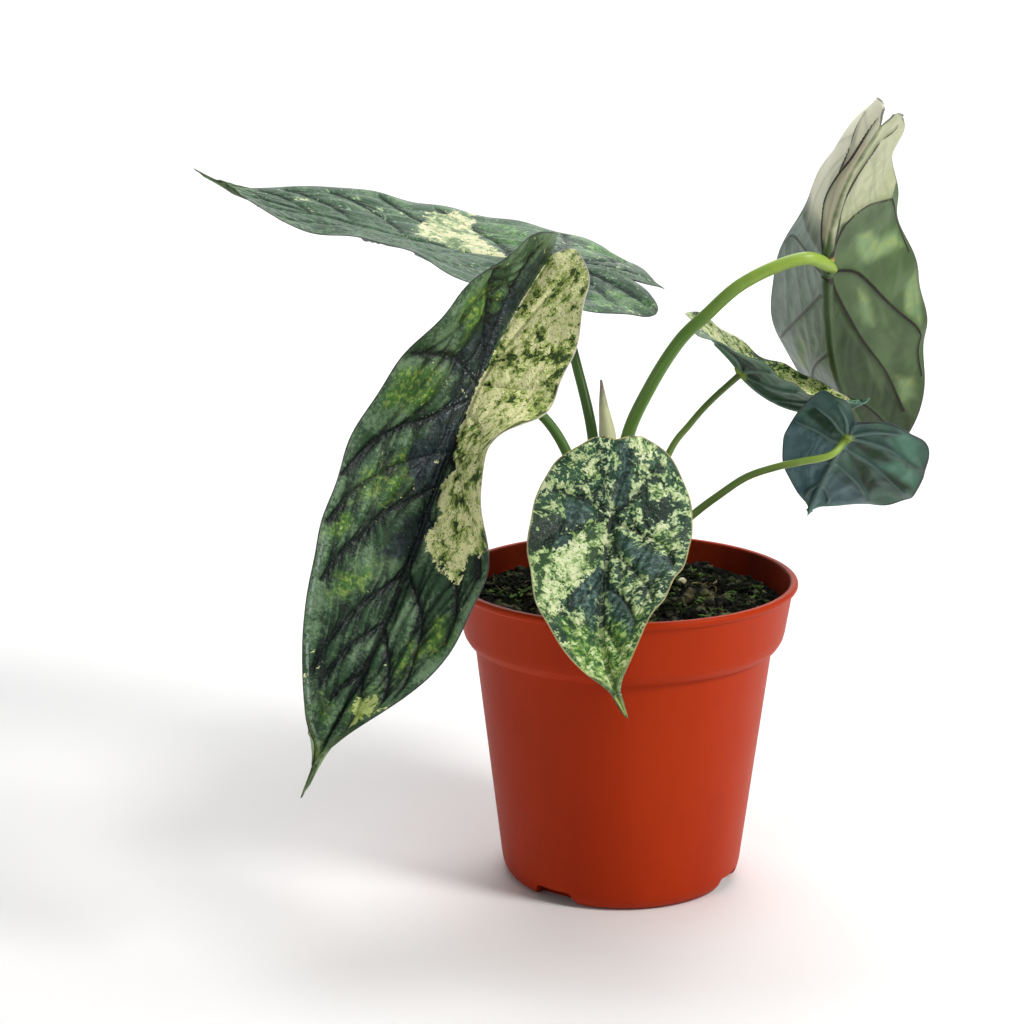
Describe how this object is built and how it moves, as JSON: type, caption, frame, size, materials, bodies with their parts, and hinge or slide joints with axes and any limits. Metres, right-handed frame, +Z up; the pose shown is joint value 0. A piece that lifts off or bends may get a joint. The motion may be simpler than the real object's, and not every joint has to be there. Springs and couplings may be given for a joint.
{
  "type": "potted aroid house plant",
  "caption": "Young variegated alocasia with quilted, drip-tipped leaves on arched stems, standing in peat in a round plastic nursery pot.",
  "frame": {"origin": "centre of the pot's flat underside, on the surface it stands on", "axes": "+Z up along the pot's axis; -Y towards the front, where the small leaf hangs over the rim; +X to the right of the front"},
  "size_m": [0.2573, 0.202, 0.272],
  "materials": {
    "pot_plastic": "satin terracotta-coloured plastic",
    "peat": "rough, moist",
    "stump_skin": "matte, fibrous",
    "spear_skin": "satin",
    "stem_skin": "satin",
    "large_front_leaf_tissue": "satin, quilted",
    "large_back_leaf_tissue": "satin, quilted",
    "tall_right_leaf_tissue": "satin, quilted",
    "middle_right_leaf_tissue": "satin, quilted",
    "low_right_leaf_tissue": "satin, quilted",
    "small_front_leaf_tissue": "satin, quilted"
  },
  "bodies": {
    "root": {"nursery_pot": "pot_plastic", "peat_soil": "peat", "stem_stump": "stump_skin", "new_leaf_spear": "spear_skin", "large_front_leaf_blade": "large_front_leaf_tissue", "large_front_leaf_stem": "stem_skin", "large_back_leaf_blade": "large_back_leaf_tissue", "large_back_leaf_stem": "stem_skin", "tall_right_leaf_blade": "tall_right_leaf_tissue", "tall_right_leaf_stem": "stem_skin", "middle_right_leaf_blade": "middle_right_leaf_tissue", "middle_right_leaf_stem": "stem_skin", "low_right_leaf_blade": "low_right_leaf_tissue", "low_right_leaf_stem": "stem_skin", "small_front_leaf_blade": "small_front_leaf_tissue", "small_front_leaf_stem": "stem_skin"}
  },
  "joints": []
}
